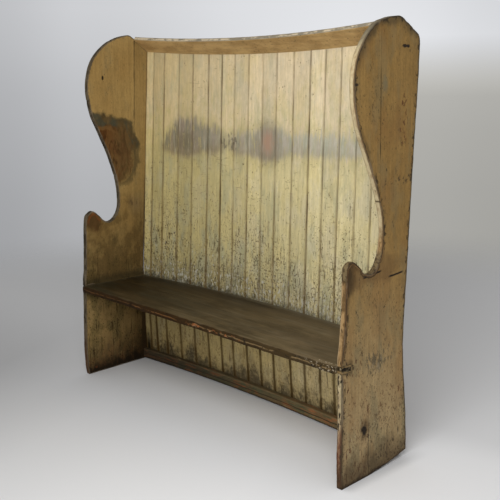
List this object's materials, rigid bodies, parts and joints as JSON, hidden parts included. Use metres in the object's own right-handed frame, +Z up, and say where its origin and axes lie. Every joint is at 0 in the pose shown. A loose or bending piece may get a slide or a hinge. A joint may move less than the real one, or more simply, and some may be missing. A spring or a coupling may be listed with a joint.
{
  "type": "settle bench",
  "caption": "High-backed settle: plank seat between shaped winged ends, bowed back of beaded matchboards, sloping top board and a curved rail near the floor.",
  "frame": {"origin": "floor level, halfway across the bench and halfway from its foremost to its rearmost point", "axes": "+X along the bench to the right of someone who faces its front, -Y out of its front, +Z up"},
  "size_m": [1.62, 0.493, 1.622],
  "materials": {
    "end_paint": "worn ochre oil paint over pine, satin",
    "upper_board_paint": "worn straw oil paint over pine, satin",
    "lower_board_paint": "dirty straw oil paint over pine, satin",
    "top_board_paint": "worn brown ochre paint over pine, satin",
    "seat_wood": "dark worn and polished pine",
    "rail_wood": "dull brown worn pine"
  },
  "bodies": {
    "root": {"left_end_front_board": "end_paint", "left_end_rear_board": "end_paint", "right_end_arm_board": "end_paint", "right_end_wing_board": "end_paint", "right_end_rear_board": "end_paint", "upper_back_board_01": "upper_board_paint", "upper_back_board_02": "upper_board_paint", "upper_back_board_03": "upper_board_paint", "upper_back_board_04": "upper_board_paint", "upper_back_board_05": "upper_board_paint", "upper_back_board_06": "upper_board_paint", "upper_back_board_07": "upper_board_paint", "upper_back_board_08": "upper_board_paint", "upper_back_board_09": "upper_board_paint", "upper_back_board_10": "upper_board_paint", "upper_back_board_11": "upper_board_paint", "upper_back_board_12": "upper_board_paint", "upper_back_board_13": "upper_board_paint", "upper_back_board_14": "upper_board_paint", "upper_back_board_15": "upper_board_paint", "upper_back_board_16": "upper_board_paint", "upper_back_board_17": "upper_board_paint", "upper_back_board_18": "upper_board_paint", "lower_back_board_01": "lower_board_paint", "lower_back_board_02": "lower_board_paint", "lower_back_board_03": "lower_board_paint", "lower_back_board_04": "lower_board_paint", "lower_back_board_05": "lower_board_paint", "lower_back_board_06": "lower_board_paint", "lower_back_board_07": "lower_board_paint", "lower_back_board_08": "lower_board_paint", "lower_back_board_09": "lower_board_paint", "lower_back_board_10": "lower_board_paint", "lower_back_board_11": "lower_board_paint", "lower_back_board_12": "lower_board_paint", "lower_back_board_13": "lower_board_paint", "lower_back_board_14": "lower_board_paint", "lower_back_board_15": "lower_board_paint", "lower_back_board_16": "lower_board_paint", "lower_back_board_17": "lower_board_paint", "lower_back_board_18": "lower_board_paint", "lower_back_board_19": "lower_board_paint", "top_board": "top_board_paint", "seat_front_plank": "seat_wood", "seat_rear_plank": "seat_wood", "bottom_rail": "rail_wood", "seat_back_bearer": "rail_wood", "back_middle_rail": "rail_wood"}
  },
  "joints": []
}
